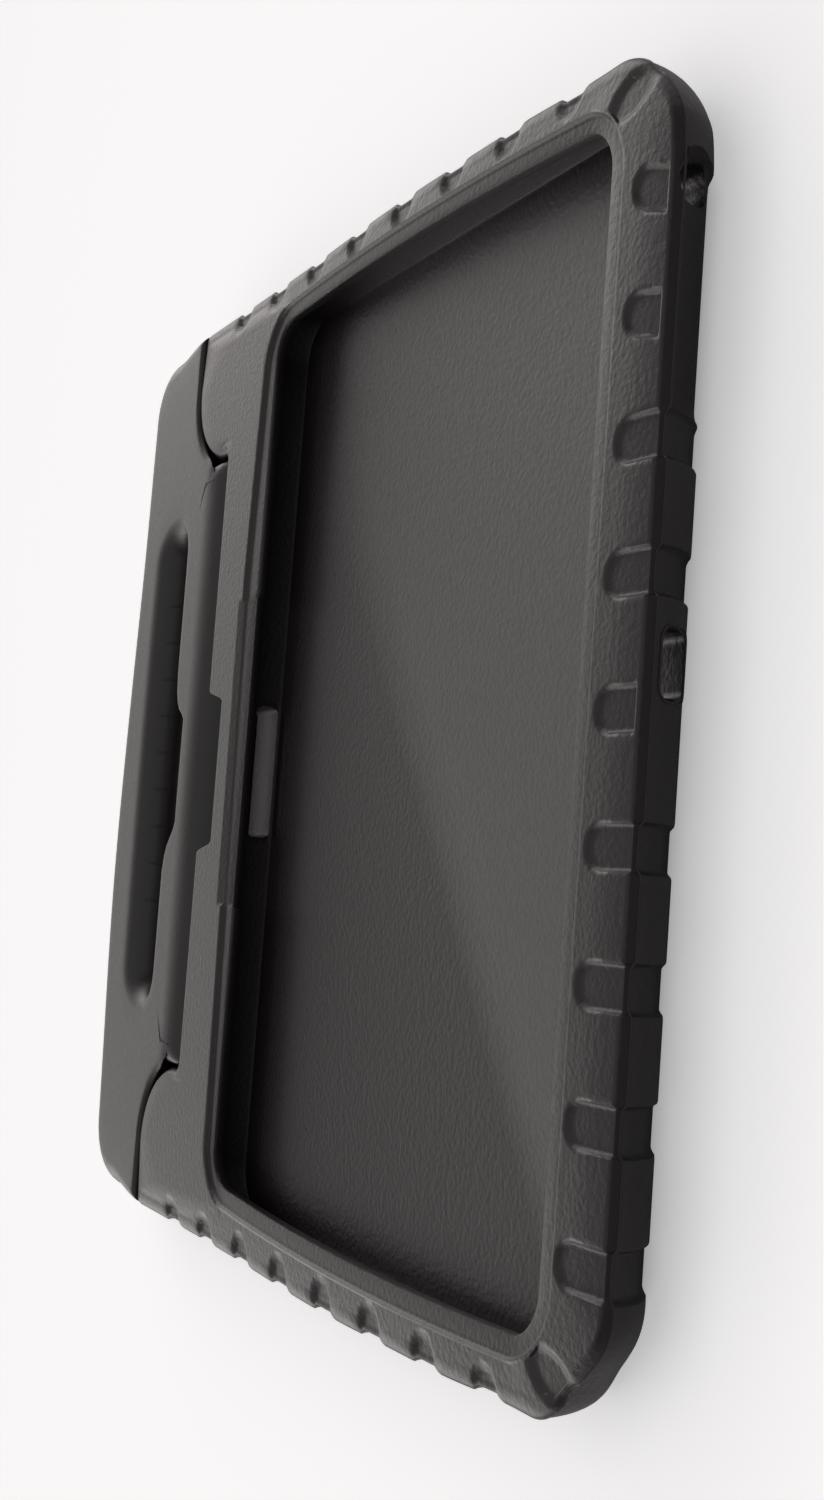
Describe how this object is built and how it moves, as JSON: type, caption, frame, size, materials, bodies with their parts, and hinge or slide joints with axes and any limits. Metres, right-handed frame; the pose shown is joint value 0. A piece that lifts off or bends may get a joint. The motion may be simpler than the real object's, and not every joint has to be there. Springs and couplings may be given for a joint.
{
  "type": "kids tablet case",
  "caption": "Foam tablet case for children with a deep recess under a lip, grip notches round the rim and a hinged carrying handle.",
  "frame": {"origin": "on the resting plane of the back, under the centre of the recess", "axes": "+X along the long side, +Y away from the handle, +Z out of the front, so the case lies on its back"},
  "size_m": [0.2612, 0.3, 0.018],
  "materials": {
    "body_foam": "matt moulded foam with a fine pebbled grain",
    "handle_foam": "matt moulded foam, smoother than the rim",
    "pin_plastic": "black nylon"
  },
  "bodies": {
    "case": {"case_body": "body_foam", "hinge_pin_left": "pin_plastic", "hinge_pin_right": "pin_plastic"},
    "handle": {"handle": "handle_foam"}
  },
  "joints": [
    {"name": "handle_fold", "type": "hinge", "parent": "case", "child": "handle", "pos_m": [0, -0.1231, 0.009], "axis": [1, 0, 0], "range_deg": [0, 90]}
  ]
}
